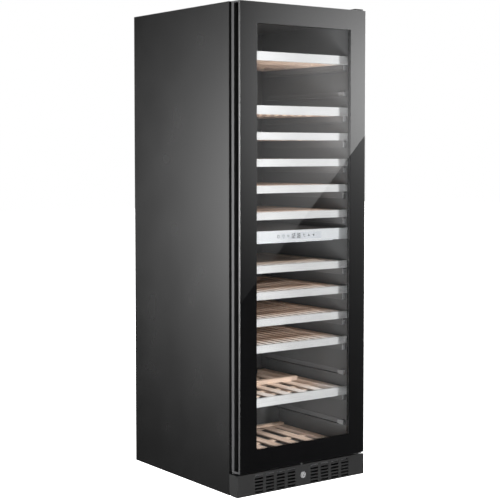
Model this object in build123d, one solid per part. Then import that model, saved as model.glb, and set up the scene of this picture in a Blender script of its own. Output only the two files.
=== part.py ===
from build123d import *
import math
import os

# Case sizes, in millimetres
case_width = 595.0
case_depth = 705.0
case_height = 1769.5
floor_gap = 12.0
sheet = 1.0
edge_return = 13.5
side_wall = 41.5
top_wall = 44.5
rear_wall = 45.0
liner_sheet = 1.5
flange_overhang = 24.5
cavity_floor = 124.0
base_sheet = 1.2
air_channel = 48.0
bead_width = 14.0
bead_inset = 60.0

# Machine bay sizes
bay_depth = 180.0
bay_height = 226.0
bay_foam = 39.0
cover_overlap = 8.0
cover_side_gap = 0.5
louvre_width = 130.0
louvre_height = 7.0
louvre_pitch_x = 160.0
louvre_pitch_z = 20.0
louvre_columns = 3
louvre_rows = 8

# Door sizes
door_side_gap = 6.5
door_bottom = 98.0
door_top_drop = 0.5
door_depth = 52.2
glass = 4.0
glass_gap = 12.0
window_side = 75.0
window_top = 75.0
window_bottom = 79.5
spacer_width = 8.0
pane_cover = 42.0
frame_width = 32.0
grip_front_lip = 6.2
grip_opening = 26.7
grip_reach = 20.0
grip_cap = 6.0
gasket_width = 16.0
gasket_depth = 6.5
gasket_lap = 8.0
gasket_groove = 2.0
gasket_clearance = 0.3

# Hinge sizes
hinge_inset = 10.7
hinge_setback = 36.0
pin_radius = 4.0
pin_clearance = 0.05
pin_length = 24.0
collar_radius = 8.0
hinge_plate = 4.0
hinge_side = 30.0
hinge_front = 14.0
hinge_gap = 0.4
hinge_collar = 1.0
top_hinge_plate = 6.0
top_hinge_length = 113.0

# Kick plate and lock sizes
kick_setback = 8.65
kick_bottom = 12.5
kick_height = 77.8
kick_sheet = 1.2
kick_bend = 3.0
kick_flange = 37.0
kick_rear_gap = 0.6
kick_chamfer = 12.0
slot_width = 36.0
slot_height = 6.4
slot_first_x = 53.5
slot_pitch_x = 49.5
slot_columns = 4
slot_first_z = 21.1
slot_pitch_z = 12.0
slot_rows = 6
lock_height = 52.4
lock_bezel_radius = 12.0
lock_body_radius = 10.4
lock_bezel = 1.5
barrel_radius = 8.4
barrel_length = 9.0
barrel_proud = 0.5
key_slot_width = 1.8
key_slot_length = 9.0
key_slot_depth = 5.0
crank_reach = 5.66
crank_pin_radius = 2.0
crank_pin_length = 4.0
bolt_half_width = 9.0
tongue_half_width = 3.0
bolt_thickness = 5.0
bolt_tail = 14.0
bolt_tip_gap = 2.5
bolt_clearance = 0.3
yoke_clearance = 0.4
guide_wall = 5.0
strike_clearance = 1.5
strike_depth = 14.0

# Shelf and rail sizes
top_shelf_drop = 123.4
display_rise = 66.05
floor_rack_height = 11.5
slot_count = 16
divider_index = 7
shelf_slots = (0, 2, 3, 4, 5, 6, 8, 9, 10, 11, 13)
tall_trim_slots = (0, 2, 13)
display_index = 13
floor_index = 15
trim_setback = 61.0
trim_height = 27.5
tall_trim_height = 32.0
trim_sheet = 1.2
trim_flange = 10.0
trim_side_gap = 1.5
shelf_side_gap = 16.0
rack_rear_gap = 39.0
floor_rack_gap = 30.0
wood_drop = 1.0
slat_thickness = 12.0
slat_width = 20.0
slat_edge_gap = 25.0
slat_chamfer = 2.0
slat_total = 10
stile_width = 37.0
batten_width = 20.0
batten_rear_gap = 21.8
batten_total = 4
display_slat_width = 38.0
display_edge_gap = 34.0
display_slat_total = 5
display_bar = 22.0
display_bar_height = 12.0
display_bar_setback = 300.0
display_sink = 5.0
floor_slat_thickness = 6.5
floor_bar_height = 8.0
runner_sheet = 2.4
runner_drop = 52.7
runner_clearance = 0.3
rail_sheet = 2.0
rail_reach = 17.0
rail_height = 20.0
rail_front = 71.0
cap_width = 10.0
cap_length = 32.0
cap_slope = 3.5

# Divider, control strip and light sizes
divider_height = 36.0
fascia_height = 42.0
fascia_above_slot = 28.5
fascia_sheet = 6.0
fascia_side_gap = 2.0
touch_left = -70.0
touch_right = 125.0
touch_height = 26.0
touch_sheet = 1.5
light_side_gap = 72.0
light_width = 8.0
light_height = 6.0
light_setback = 66.0

# Air duct, evaporator and fan sizes
duct_space = 54.0
duct_sheet = 4.0
duct_side_gap = 0.5
vent_width = 150.0
vent_height = 6.0
vent_pitch = 60.0
fan_radius = 52.0
fan_tip_gap = 4.0
fan_hub_radius = 16.0
fan_depth = 14.0
fan_shaft_radius = 2.0
fan_shaft_clearance = 0.05
blade_total = 5
blade_sheet = 1.6
root_angle = 48.0
tip_angle = 26.0
shroud_sheet = 2.0
fan_standoff = 5.0
fan_end_gap = 0.5
motor_radius = 15.0
motor_depth = 16.0
strut_width = 5.0
grille_bar_pitch = 12.0
grille_slot = 7.0
evaporator_width = 380.0
evaporator_height = 330.0
evaporator_sheet = 2.0
evaporator_tube = 3.5
evaporator_standoff = 7.0
evaporator_rows = 6

# Compressor, condenser, gland and foot sizes
compressor_radius = 72.0
compressor_height = 165.0
compressor_crown = 40.0
crown_flat = 30.0
seam_height = 5.0
seam_reach = 3.5
compressor_inset = 137.5
mount_plate = 3.0
mount_reach = 84.0
grommet_radius = 11.0
grommet_height = 14.0
terminal_box = 34.0
condenser_inset = 177.5
condenser_length = 200.0
condenser_height = 150.0
condenser_depth = 50.0
condenser_rear_gap = 40.0
fin_sheet = 0.8
fin_pitch = 10.0
coil_radius = 4.0
coil_rows = 4
core_inset = 9.0
end_plate = 1.5
gland_inset = 57.5
gland_height = 60.0
gland_flange_radius = 12.0
gland_neck_radius = 8.0
gland_bore_radius = 4.0
gland_flange = 4.0
gland_clearance = 0.05
foot_inset = 47.5
front_foot_setback = 177.5
rear_foot_inset = 38.5
foot_radius = 22.0
foot_rim = 5.0
foot_neck_radius = 10.0
foot_top_gap = 0.3
shank_radius = 4.0
shank_clearance = 0.05
shank_length = 30.0
boss_radius = 9.0
boss_height = 16.0

# Places worked out from the sizes above
half_width = case_width / 2
half_door = half_width - door_side_gap
case_front = door_depth + gasket_depth + gasket_clearance
case_rear = case_depth
cavity_half = half_width - side_wall
cavity_top = case_height - top_wall
cavity_rear = case_depth - rear_wall
base_top = floor_gap + base_sheet
channel_top = base_top + air_channel
foam_bottom = channel_top + base_sheet
bay_front = case_depth - bay_depth
bay_top = base_top + bay_height
hump_front = bay_front - bay_foam
hump_top = bay_top + base_sheet + bay_foam
rear_skin = case_rear - sheet
door_top = case_height - door_top_drop
window_half = half_door - window_side
window_low = door_bottom + window_bottom
window_high = door_top - window_top
hinge_x = half_door - hinge_inset
foot_x = half_width - foot_inset
compressor_x = compressor_inset - half_width
condenser_x = half_width - condenser_inset
gland_x = half_width - gland_inset
kick_top = kick_bottom + kick_height
bolt_front = kick_setback + kick_sheet + barrel_length - barrel_proud - lock_bezel
shelf_half = cavity_half - shelf_side_gap
stile_inner = shelf_half - stile_width
duct_setback = cavity_rear - duct_space
shelf_front = trim_setback + trim_sheet
shelf_rear = duct_setback - rack_rear_gap
floor_rack_rear = hump_front - floor_rack_gap
batten_run = shelf_rear - batten_rear_gap - batten_width - shelf_front
runner_outer = shelf_half + runner_sheet
rail_lip_top = runner_drop + runner_clearance
fan_ring_radius = fan_radius + fan_tip_gap
top_shelf = cavity_top - top_shelf_drop
floor_rack_top = cavity_floor + floor_rack_height
display_top = hump_top + display_rise
shelf_pitch = (top_shelf - display_top) / display_index
fascia_top = top_shelf - divider_index * shelf_pitch + fascia_above_slot
fascia_bottom = fascia_top - fascia_height
divider_middle = (fascia_top + fascia_bottom) / 2
divider_top = divider_middle + divider_height / 2
divider_bottom = divider_middle - divider_height / 2


def setback(distance):
    """The y value of a point this far behind the face of the door."""
    return distance - case_depth / 2


def block(x, y, z):
    """A box between limits in x, in distance behind the door face and in z."""
    middle = Pos((x[0] + x[1]) / 2, setback((y[0] + y[1]) / 2), (z[0] + z[1]) / 2)
    return middle * Box(x[1] - x[0], y[1] - y[0], z[1] - z[0])


def bar_along_x(outline, x):
    """A closed outline of (distance behind the door face, z), drawn out along x."""
    points = [(setback(distance), height) for distance, height in outline]
    face = Plane.YZ * make_face(Polyline(*points, close=True))
    return Pos(x[0], 0, 0) * extrude(face, amount=x[1] - x[0], dir=(1, 0, 0))


def bar_along_z(outline, z):
    """A closed outline of (x, distance behind the door face), drawn out along z."""
    points = [(across, setback(distance)) for across, distance in outline]
    face = make_face(Polyline(*points, close=True))
    return Pos(0, 0, z[0]) * extrude(face, amount=z[1] - z[0], dir=(0, 0, 1))


def bar_along_y(outline, y):
    """A closed outline of (x, z), drawn out between two distances behind the door face."""
    face = Plane.XZ * make_face(Polyline(*outline, close=True))
    return Pos(0, setback(y[0]), 0) * extrude(face, amount=y[1] - y[0], dir=(0, 1, 0))


def rod_along_z(radius, x, y, z):
    """A round bar standing at x and at a distance behind the door face."""
    middle = Pos(x, setback(y), (z[0] + z[1]) / 2)
    return middle * Cylinder(radius, z[1] - z[0])


def rod_along_y(radius, x, y, z):
    """A round bar lying front to back."""
    middle = Pos(x, setback((y[0] + y[1]) / 2), z)
    return middle * Rot(90, 0, 0) * Cylinder(radius, y[1] - y[0])


def rod_along_x(radius, x, y, z):
    """A round bar lying across the case."""
    middle = Pos((x[0] + x[1]) / 2, setback(y), z)
    return middle * Rot(0, 90, 0) * Cylinder(radius, x[1] - x[0])


def mirrored(solid):
    """The same solid on the other side of the case."""
    return mirror(solid, about=Plane.YZ)


def both_sides(solid):
    """A solid and its mirror image, as two pieces."""
    return [solid, mirrored(solid)]


def ring(outer, inner, y):
    """A rectangular ring between two (x, low z, high z) outlines."""
    body = block((-outer[0], outer[0]), y, (outer[1], outer[2]))
    return body - block((-inner[0], inner[0]), y, (inner[1], inner[2]))


# Outer case
def side_panel():
    """The right side sheet, folded in at the front and at the rear."""
    outer = half_width
    inner = half_width - sheet
    lip = half_width - edge_return
    outline = [
        (lip, case_front),
        (outer, case_front),
        (outer, case_rear),
        (lip, case_rear),
        (lip, rear_skin),
        (inner, rear_skin),
        (inner, case_front + sheet),
        (lip, case_front + sheet),
    ]
    return bar_along_z(outline, (floor_gap, case_height))


def top_panel():
    """The top sheet with its front edge folded down above the liner flange."""
    reach = half_width - sheet
    lip = half_width - edge_return
    cover = block((-reach, reach), (case_front + sheet, rear_skin), (case_height - sheet, case_height))
    fold = block((-lip, lip), (case_front, case_front + sheet), (cavity_top + flange_overhang, case_height))
    return cover + fold


def rear_panel():
    """The rear sheet above the machine bay, stiffened by three upright beads."""
    reach = half_width - sheet
    low = bay_top + base_sheet
    high = case_height - sheet
    panel = block((-reach, reach), (rear_skin - sheet, rear_skin), (low, high))
    beads = (rear_skin, case_rear)
    inner = reach - edge_return - bead_inset
    half_bead = bead_width / 2
    for x in (-inner, 0, inner):
        panel += block((x - half_bead, x + half_bead), beads, (low + bead_inset, high - bead_inset))
    return panel


def machine_cover():
    """The removable rear cover of the machine bay, with rows of air slots."""
    reach = half_width - edge_return - cover_side_gap
    high = bay_top + base_sheet + cover_overlap
    cover = block((-reach, reach), (rear_skin, case_rear), (base_top, high))
    middle = (base_top + bay_top) / 2
    places = GridLocations(louvre_pitch_x, louvre_pitch_z, louvre_columns, louvre_rows)
    slot = Box(louvre_width, 4 * sheet, louvre_height)
    for place in places:
        cover -= Pos(place.position.X, setback(case_rear), middle + place.position.Y) * slot
    hole = gland_neck_radius + gland_clearance
    return cover - rod_along_y(hole, gland_x, (rear_skin, case_rear), gland_height)


def base_frame():
    """The folded base: floor, air channel roof, machine bay wall, foot bosses and kick plate ears."""
    reach = half_width - sheet
    front = case_front + sheet
    rear = rear_skin
    roof_rear = rear_skin - sheet
    floor = block((-reach, reach), (front, rear), (floor_gap, base_top))
    channel = [
        (front, channel_top),
        (bay_front, channel_top),
        (bay_front, bay_top),
        (roof_rear, bay_top),
        (roof_rear, bay_top + base_sheet),
        (bay_front - base_sheet, bay_top + base_sheet),
        (bay_front - base_sheet, foam_bottom),
        (front, foam_bottom),
    ]
    frame = floor + bar_along_x(channel, (-reach, reach))
    frame += both_sides(block((reach - base_sheet, reach), (front, rear), (base_top, channel_top)))
    ear_front = kick_setback + kick_sheet
    ear_rear = front + edge_return
    ear_z = (base_top + base_sheet, channel_top)
    ear = block((foot_x, foot_x + base_sheet), (ear_front, ear_rear), ear_z)
    ear += block((foot_x - edge_return, foot_x), (ear_front, ear_front + base_sheet), ear_z)
    ear += block((foot_x, foot_x + base_sheet), (front, ear_rear), (base_top, channel_top))
    frame += both_sides(ear)
    boss_top = base_top + boss_height
    frame += both_sides(rod_along_z(boss_radius, foot_x, front_foot_setback, (base_top, boss_top)))
    bore_radius = shank_radius + shank_clearance
    bore = rod_along_z(bore_radius, foot_x, front_foot_setback, (floor_gap - sheet, boss_top + sheet))
    return frame - bore - mirrored(bore)


def inner_liner():
    """The moulded liner with its front flange."""
    outer = cavity_half + liner_sheet
    step = [
        (case_front, cavity_floor - liner_sheet),
        (hump_front + liner_sheet, cavity_floor - liner_sheet),
        (hump_front + liner_sheet, hump_top - liner_sheet),
        (cavity_rear + liner_sheet, hump_top - liner_sheet),
        (cavity_rear + liner_sheet, cavity_top + liner_sheet),
        (case_front, cavity_top + liner_sheet),
    ]
    hollow = [
        (case_front - liner_sheet, cavity_floor),
        (hump_front, cavity_floor),
        (hump_front, hump_top),
        (cavity_rear, hump_top),
        (cavity_rear, cavity_top),
        (case_front - liner_sheet, cavity_top),
    ]
    lip = half_width - edge_return
    flange_z = (foam_bottom, cavity_top + flange_overhang)
    flange = block((-lip, lip), (case_front, case_front + liner_sheet), flange_z)
    shell = bar_along_x(step, (-outer, outer)) + flange
    return shell - bar_along_x(hollow, (-cavity_half, cavity_half))


def insulation():
    """The foam between the liner and the case."""
    reach = half_width - sheet
    front = case_front + liner_sheet
    outer = cavity_half + liner_sheet
    bulk = [
        (front, foam_bottom),
        (bay_front - base_sheet, foam_bottom),
        (bay_front - base_sheet, bay_top + base_sheet),
        (rear_skin - sheet, bay_top + base_sheet),
        (rear_skin - sheet, case_height - sheet),
        (front, case_height - sheet),
    ]
    hollow = [
        (front - sheet, cavity_floor - liner_sheet),
        (hump_front + liner_sheet, cavity_floor - liner_sheet),
        (hump_front + liner_sheet, hump_top - liner_sheet),
        (cavity_rear + liner_sheet, hump_top - liner_sheet),
        (cavity_rear + liner_sheet, cavity_top + liner_sheet),
        (front - sheet, cavity_top + liner_sheet),
    ]
    return bar_along_x(bulk, (-reach, reach)) - bar_along_x(hollow, (-outer, outer))


# Door
def outer_glass():
    """The front pane, which covers the whole door."""
    return block((-half_door, half_door), (0, glass), (door_bottom, door_top))


def inner_panes():
    """The middle and rear panes of the sealed unit."""
    reach = window_half + pane_cover
    span = (window_low - pane_cover, window_high + pane_cover)
    first = glass + glass_gap
    second = first + glass + glass_gap
    return [block((-reach, reach), (start, start + glass), span) for start in (first, second)]


def glass_spacers():
    """The two clear bars that hold the panes apart, each a closed ring."""
    inner = (window_half, window_low, window_high)
    outer = (window_half + spacer_width, window_low - spacer_width, window_high + spacer_width)
    starts = (glass, 2 * glass + glass_gap)
    return [ring(outer, inner, (start, start + glass_gap)) for start in starts]


def door_frame():
    """The moulded frame behind the glass, open on the grip side, with hinge bores and the strike."""
    inner_half = half_door - frame_width
    opening = (door_bottom + frame_width, door_top - frame_width)
    body = block((-inner_half, half_door), (glass, door_depth), (door_bottom, door_top))
    body -= block((-inner_half, inner_half), (0, door_depth + sheet), opening)
    bore = pin_radius + pin_clearance
    depth = pin_length + hinge_gap
    body -= rod_along_z(bore, hinge_x, hinge_setback, (door_bottom - sheet, door_bottom + depth))
    body -= rod_along_z(bore, hinge_x, hinge_setback, (door_top - depth, door_top + sheet))
    strike_x = tongue_half_width + strike_clearance
    strike_y = (bolt_front - strike_clearance, bolt_front + bolt_thickness + strike_clearance)
    return body - block((-strike_x, strike_x), strike_y, (door_bottom - sheet, door_bottom + strike_depth))


def door_grip():
    """The left edge profile with its full-height finger channel, closed by a cap at each end."""
    inner = -(half_door - frame_width)
    channel_front = glass + grip_front_lip
    channel_rear = channel_front + grip_opening
    bottom = -half_door + grip_reach
    outline = [
        (-half_door, glass),
        (inner, glass),
        (inner, door_depth),
        (-half_door, door_depth),
        (-half_door, channel_rear),
        (bottom, channel_rear),
        (bottom, channel_front),
        (-half_door, channel_front),
    ]
    profile = bar_along_z(outline, (door_bottom, door_top))
    for low in (door_bottom, door_top - grip_cap):
        cap = block((-half_door, bottom), (channel_front, channel_rear), (low, low + grip_cap))
        profile += cap
    return profile


def door_gasket():
    """The soft seal round the opening, with a groove along its sides."""
    inner = (cavity_half + gasket_lap, cavity_floor - gasket_lap, cavity_top + gasket_lap)
    outer = (inner[0] + gasket_width, inner[1] - gasket_width, inner[2] + gasket_width)
    seal = ring(outer, inner, (door_depth, door_depth + gasket_depth))
    middle = door_depth + gasket_depth / 2
    waist = (middle - gasket_groove / 2, middle + gasket_groove / 2)
    trim = gasket_groove
    cut_outer = (outer[0] - trim, outer[1] + trim, outer[2] - trim)
    cut_inner = (inner[0] + trim, inner[1] - trim, inner[2] + trim)
    return seal - ring(outer, cut_outer, waist) - ring(cut_inner, inner, waist)


# Hinges
def top_hinge():
    """The plate on top of the case with the pin that drops into the door."""
    low = case_height
    high = case_height + top_hinge_plate
    x = (hinge_x - hinge_side, half_door)
    plate = block(x, (hinge_front, hinge_front + top_hinge_length), (low, high))
    corners = plate.edges().filter_by(Axis.Z).sort_by(Axis.Y)[:2]
    plate = fillet(corners, hinge_front / 2)
    return plate + rod_along_z(pin_radius, hinge_x, hinge_setback, (door_top - pin_length, low))


def bottom_hinge():
    """The angle bracket under the door, with its collar and pin."""
    collar_top = door_bottom - hinge_gap
    high = collar_top - hinge_collar
    low = high - hinge_plate
    x = (hinge_x - hinge_side, half_door - sheet)
    outline = [
        (hinge_front, low),
        (case_front - hinge_plate, low),
        (case_front - hinge_plate, foam_bottom),
        (case_front, foam_bottom),
        (case_front, high),
        (hinge_front, high),
    ]
    bracket = bar_along_x(outline, x)
    bracket += rod_along_z(collar_radius, hinge_x, hinge_setback, (high, collar_top))
    return bracket + rod_along_z(pin_radius, hinge_x, hinge_setback, (high, door_bottom + pin_length))


# Kick plate and lock
def kick_plate():
    """The plinth grille, folded back at every edge, with two banks of air slots."""
    rear = case_front - kick_rear_gap
    body = block((-half_width, half_width), (kick_setback, rear), (kick_bottom, kick_top))
    body = fillet(body.edges().filter_by(Axis.Z).sort_by(Axis.Y)[:2], kick_bend)
    inner = half_width - kick_sheet
    front = kick_setback + kick_sheet
    low = kick_bottom - sheet
    flanges = (kick_bottom + kick_sheet, kick_top - kick_sheet)
    hollow = block((-inner, inner), (front, rear + sheet), flanges)
    hollow = fillet(hollow.edges().filter_by(Axis.Z).sort_by(Axis.Y)[:2], kick_bend - kick_sheet)
    body -= hollow
    body -= block((-inner, inner), (kick_setback + kick_flange, rear + sheet), (low, kick_top + sheet))
    corner = [
        (rear - kick_chamfer, low),
        (rear + sheet, low),
        (rear + sheet, kick_bottom + kick_chamfer),
    ]
    body -= bar_along_x(corner, (-half_width - sheet, half_width + sheet))
    hole = Box(slot_width, 4 * kick_sheet, slot_height)
    for column in range(slot_columns):
        for row in range(slot_rows):
            x = slot_first_x + column * slot_pitch_x
            z = slot_first_z + row * slot_pitch_z
            body -= Pos(x, setback(kick_setback), z) * hole
            body -= Pos(-x, setback(kick_setback), z) * hole
    body -= rod_along_y(lock_body_radius, 0, (0, front + sheet), lock_height)
    slot_x = tongue_half_width + bolt_clearance
    slot_y = (bolt_front - bolt_clearance, bolt_front + bolt_thickness + bolt_clearance)
    return body - block((-slot_x, slot_x), slot_y, (kick_top - 2 * kick_sheet, kick_top + sheet))


def lock_housing():
    """The bezel, the barrel seat and the guide of the lock bolt."""
    back = kick_setback + kick_sheet
    bezel = rod_along_y(lock_bezel_radius, 0, (kick_setback - lock_bezel, kick_setback), lock_height)
    seat = rod_along_y(lock_body_radius, 0, (kick_setback - lock_bezel, back), lock_height)
    reach = bolt_half_width + bolt_clearance + guide_wall
    rear = bolt_front + bolt_thickness + bolt_clearance + guide_wall
    low = lock_height - bolt_tail - guide_wall
    high = kick_top - kick_sheet
    guide = block((-reach, reach), (back, rear), (low, high))
    slot_x = bolt_half_width + bolt_clearance
    slot_y = (bolt_front - bolt_clearance, bolt_front + bolt_thickness + bolt_clearance)
    guide -= block((-slot_x, slot_x), slot_y, (low - sheet, high + sheet))
    body = bezel + seat + guide
    bore = barrel_radius + pin_clearance
    return body - rod_along_y(bore, 0, (0, bolt_front), lock_height)


def crank_offset():
    """Sideways and vertical reach of the crank pin at either end of its quarter turn."""
    return crank_reach * math.sqrt(0.5)


def lock_barrel():
    """The turning cylinder with its key slot and the crank pin that lifts the bolt."""
    front = kick_setback - lock_bezel - barrel_proud
    rear = bolt_front - bolt_clearance
    body = rod_along_y(barrel_radius, 0, (front, rear), lock_height)
    half_slot = key_slot_width / 2
    half_length = key_slot_length / 2
    z = (lock_height - half_length, lock_height + half_length)
    body -= block((-half_slot, half_slot), (front, front + key_slot_depth), z)
    offset = crank_offset()
    pin_y = (rear, rear + crank_pin_length)
    return body + rod_along_y(crank_pin_radius, offset, pin_y, lock_height - offset)


def lock_bolt():
    """The sliding bolt: a tongue on a wider body with the cross slot that the crank pin works in."""
    y = (bolt_front, bolt_front + bolt_thickness)
    x = (-bolt_half_width, bolt_half_width)
    offset = crank_offset()
    shoulder = kick_top - 2 * kick_sheet - 2 * offset
    bolt = block(x, y, (lock_height - bolt_tail, shoulder))
    tongue_x = (-tongue_half_width, tongue_half_width)
    bolt += block(tongue_x, y, (shoulder, door_bottom - bolt_tip_gap))
    half_yoke = crank_pin_radius + yoke_clearance
    yoke_x = crank_reach + half_yoke
    low = lock_height - offset - half_yoke
    return bolt - block((offset - half_yoke, yoke_x), y, (low, low + 2 * half_yoke))


# Shelves and their rails
def slot_top(slot):
    """Height of the top edge of the shelf front in a slot, counted from the top."""
    return top_shelf - slot * shelf_pitch


def slot_bottom(slot):
    """Height of the lower edge of the shelf front in a slot."""
    return slot_top(slot) - (tall_trim_height if slot in tall_trim_slots else trim_height)


def shelf_trim(slot):
    """The folded steel front of a shelf and its two runner plates."""
    top = slot_top(slot)
    low = slot_bottom(slot)
    front = trim_setback
    inner = front + trim_sheet
    rear = front + trim_flange
    outline = [
        (front, low),
        (rear, low),
        (rear, low + wood_drop),
        (inner, low + wood_drop),
        (inner, top - wood_drop),
        (rear, top - wood_drop),
        (rear, top),
        (front, top),
    ]
    reach = cavity_half - trim_side_gap
    channel = bar_along_x(outline, (-reach, reach))
    plate = block((shelf_half, runner_outer), (rear, shelf_rear), (top - runner_drop, top - 2 * wood_drop))
    return [channel] + both_sides(plate)


def spread(total, width, edge_gap):
    """Evenly spaced middles of slats between the stiles."""
    last = stile_inner - edge_gap - width / 2
    return [last * (2 * index / (total - 1) - 1) for index in range(total)]


def slat(x, width, y, z):
    """A planed slat lying front to back, with both upper edges eased."""
    half = width / 2
    shoulder = z[1] - slat_chamfer
    outline = [
        (x - half, z[0]),
        (x + half, z[0]),
        (x + half, shoulder),
        (x + half - slat_chamfer, z[1]),
        (x - half + slat_chamfer, z[1]),
        (x - half, shoulder),
    ]
    return bar_along_y(outline, y)


def shelf_wood(slot):
    """The slatted beech rack of one pull-out shelf."""
    top = slot_top(slot) - wood_drop
    seam = top - slat_thickness
    low = slot_bottom(slot) + wood_drop
    front = shelf_front
    inner = stile_inner
    pieces = both_sides(block((inner, shelf_half), (front, shelf_rear), (low, top)))
    for index in range(batten_total):
        start = front + index * batten_run / (batten_total - 1)
        pieces.append(block((-inner, inner), (start, start + batten_width), (low, seam)))
    if slot != display_index:
        for x in spread(slat_total, slat_width, slat_edge_gap):
            pieces.append(slat(x, slat_width, (front, shelf_rear), (seam, top)))
        return pieces
    sunk = top - display_sink
    for x in spread(display_slat_total, display_slat_width, display_edge_gap):
        pieces.append(slat(x, display_slat_width, (front, shelf_rear), (seam, sunk)))
    y = (display_bar_setback, display_bar_setback + display_bar)
    pieces.append(block((-inner, inner), y, (sunk, top + display_bar_height)))
    return pieces


def floor_rack():
    """The fixed rack on the cavity floor, which ends at the machine bay step."""
    top = floor_rack_top - wood_drop
    seam = top - floor_slat_thickness
    front = shelf_front
    inner = stile_inner
    pieces = both_sides(block((inner, shelf_half), (front, floor_rack_rear), (cavity_floor, top)))
    last = floor_rack_rear - display_bar
    for start in (front, (front + last) / 2, last):
        pieces.append(block((-inner, inner), (start, start + display_bar), (cavity_floor, seam)))
    for x in spread(display_slat_total, display_slat_width, display_edge_gap):
        pieces.append(slat(x, display_slat_width, (front, floor_rack_rear), (seam, top)))
    reach = shelf_half
    pieces.append(block((-reach, reach), (last, floor_rack_rear), (top, top + floor_bar_height)))
    return pieces


def rail_slots():
    """Slots with rails: all but the divider and the floor rack."""
    return [slot for slot in range(slot_count) if slot not in (divider_index, floor_index)]


def shelf_rails():
    """One angle rail on each wall for every slot, shorter where the machine bay step is in the way."""
    pieces = []
    for slot in rail_slots():
        low = slot_top(slot) - rail_lip_top - rail_sheet
        high = low + rail_height
        blocked = low < hump_top
        rear = hump_front - rail_sheet if blocked else shelf_rear
        wall = cavity_half
        inner = wall - rail_sheet
        tip = wall - rail_reach
        outline = [
            (tip, low),
            (wall, low),
            (wall, high),
            (inner, high),
            (inner, low + rail_sheet),
            (tip, low + rail_sheet),
        ]
        pieces += both_sides(bar_along_y(outline, (rail_front, rear)))
    return pieces


def rail_end_caps():
    """The moulded wedge on the front end of every rail."""
    pieces = []
    for slot in rail_slots():
        low = slot_top(slot) - rail_lip_top
        high = low + rail_height - rail_sheet
        wall = cavity_half - rail_sheet
        outline = [
            (rail_front, low),
            (rail_front + cap_length, low),
            (rail_front + cap_length, high - cap_slope),
            (rail_front, high),
        ]
        pieces += both_sides(bar_along_x(outline, (wall - cap_width, wall)))
    return pieces


# Divider, control strip and lights
def zone_divider():
    """The insulated floor between the two climate zones."""
    front = trim_setback - fascia_sheet / 2 + fascia_sheet
    return block((-cavity_half, cavity_half), (front, duct_setback), (divider_bottom, divider_top))


def fascia_span():
    """Front and rear of the control strip."""
    front = trim_setback - fascia_sheet / 2
    return (front, front + fascia_sheet)


def control_fascia():
    """The control strip across the middle, with a seat for the touch panel."""
    reach = cavity_half - fascia_side_gap
    span = fascia_span()
    strip = block((-reach, reach), span, (fascia_bottom, fascia_top))
    return strip - touch_seat()


def touch_seat():
    """The space of the touch panel in the face of the control strip."""
    front = fascia_span()[0]
    z = (divider_middle - touch_height / 2, divider_middle + touch_height / 2)
    return block((touch_left, touch_right), (front, front + touch_sheet), z)


def led_strips():
    """A light bar under the ceiling of each zone."""
    half = cavity_half - light_side_gap
    upper = (light_setback, light_setback + light_width)
    rear = fascia_span()[1]
    lower = (rear, rear + light_width)
    bars = [block((-half, half), upper, (cavity_top - light_height, cavity_top))]
    bars.append(block((-half, half), lower, (divider_bottom - light_height, divider_bottom)))
    return bars


# Fans, air ducts and evaporators
def fan_rotor(x, y, z):
    """A fan wheel whose twisted blades are drawn between a steep root and a flat tip."""
    middle = y + fan_depth / 2
    hub = rod_along_y(fan_hub_radius, x, (y, y + fan_depth), z)
    root = fan_hub_radius - blade_sheet
    chord_root = fan_depth * 0.9
    chord_tip = fan_depth * 1.7
    for index in range(blade_total):
        sections = []
        for reach, chord, angle in ((root, chord_root, root_angle), (fan_radius, chord_tip, tip_angle)):
            face = Rectangle(blade_sheet, chord)
            face = Rot(0, 0, 90 - angle) * face
            sections.append(Plane((reach, 0, 0), x_dir=(0, 1, 0), z_dir=(1, 0, 0)) * face)
        blade = loft(sections)
        hub += Pos(x, setback(middle), z) * Rot(0, index * 360 / blade_total, 0) * blade
    bore = fan_shaft_radius + fan_shaft_clearance
    return hub - rod_along_y(bore, x, (y - sheet, y + fan_depth + sheet), z)


def fan_mount(x, y, z):
    """A shroud ring with three struts, the motor and its shaft, starting at a wall at y."""
    rotor_end = y + fan_standoff + fan_depth
    motor_front = rotor_end + fan_end_gap
    motor_rear = motor_front + motor_depth
    outer = fan_ring_radius + shroud_sheet
    shroud = rod_along_y(outer, x, (y, motor_rear), z) - rod_along_y(fan_ring_radius, x, (y, motor_rear), z)
    motor = rod_along_y(motor_radius, x, (motor_front, motor_rear), z)
    reach = fan_ring_radius + shroud_sheet / 2
    strut = Pos(reach / 2, 0, 0) * Box(reach, motor_depth / 2, strut_width)
    mount = shroud + motor
    for index in range(3):
        spot = Pos(x, setback(motor_rear - motor_depth / 4), z)
        mount += spot * Rot(0, 90 + index * 120, 0) * strut
    return mount + rod_along_y(fan_shaft_radius, x, (y + fan_standoff, motor_front), z)


def grille(x, y, z):
    """The air slots of a round fan opening, each as long as its chord."""
    count = int(fan_radius // grille_bar_pitch)
    cuts = []
    for index in range(-count, count + 1):
        height = index * grille_bar_pitch
        half_chord = math.sqrt(max(fan_radius ** 2 - (abs(height) + grille_slot / 2) ** 2, 0))
        if half_chord > grille_slot:
            slot = (z + height - grille_slot / 2, z + height + grille_slot / 2)
            cuts.append(block((x - half_chord, x + half_chord), y, slot))
    return cuts


def zone_spans():
    """Height limits of the upper and the lower air duct."""
    return ((divider_bottom, cavity_top), (hump_top, divider_bottom))


def fan_height(span):
    """Height of the fan in a duct."""
    return (span[0] + 2 * span[1]) / 3


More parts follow.
